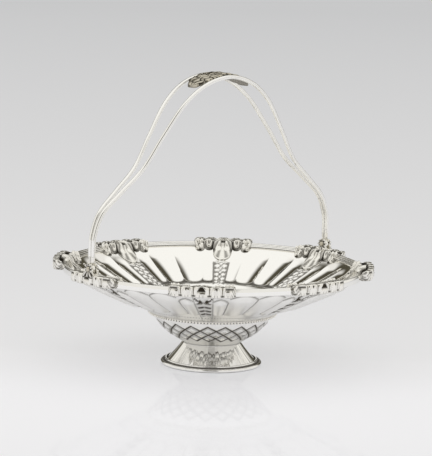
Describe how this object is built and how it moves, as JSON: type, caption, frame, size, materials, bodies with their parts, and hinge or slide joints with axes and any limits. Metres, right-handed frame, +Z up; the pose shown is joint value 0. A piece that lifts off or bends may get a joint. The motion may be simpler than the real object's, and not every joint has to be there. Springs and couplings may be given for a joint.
{
  "type": "swing-handle basket",
  "caption": "Round fluted silver basket on a trumpet foot, with a border of cast ornaments and a two-wire bail handle that swings on pinned lugs.",
  "frame": {"origin": "on the surface the basket stands on, under the middle of the bowl", "axes": "+Z up; X through the handle's two pivots; the handle stands upright in the XZ plane at rest"},
  "size_m": [0.3104, 0.3104, 0.2823],
  "materials": {
    "polished_silver": "polished sheet and wire",
    "cast_silver": "cast and chased, polished on its high parts",
    "darkened_silver": "cast and left dark in its recesses"
  },
  "bodies": {
    "basket": {"bowl": "polished_silver", "bead_wire": "cast_silver", "foot": "polished_silver", "foot_base_ring": "polished_silver", "rim_ornament_1": "cast_silver", "rim_ornament_2": "cast_silver", "rim_ornament_3": "cast_silver", "rim_ornament_4": "cast_silver", "rim_ornament_5": "cast_silver", "rim_ornament_6": "cast_silver", "rim_ornament_7": "cast_silver", "rim_ornament_8": "cast_silver", "rim_plain_1": "polished_silver", "rim_plain_2": "polished_silver", "rim_plain_3": "polished_silver", "rim_plain_4": "polished_silver", "rim_plain_5": "polished_silver", "rim_plain_6": "polished_silver", "rim_plain_7": "polished_silver", "rim_plain_8": "polished_silver", "hinge_lug_left": "cast_silver", "hinge_lug_right": "cast_silver", "hinge_pin_left": "cast_silver", "hinge_pin_right": "cast_silver"},
    "handle": {"handle_wire_front": "polished_silver", "handle_wire_back": "polished_silver", "handle_cartouche": "darkened_silver", "handle_end_left": "cast_silver", "handle_end_right": "cast_silver"}
  },
  "joints": [
    {"name": "handle_swing", "type": "hinge", "parent": "basket", "child": "handle", "pos_m": [0, 0, 0.1054], "axis": [1, 0, 0], "range_deg": [-86, 86]}
  ]
}
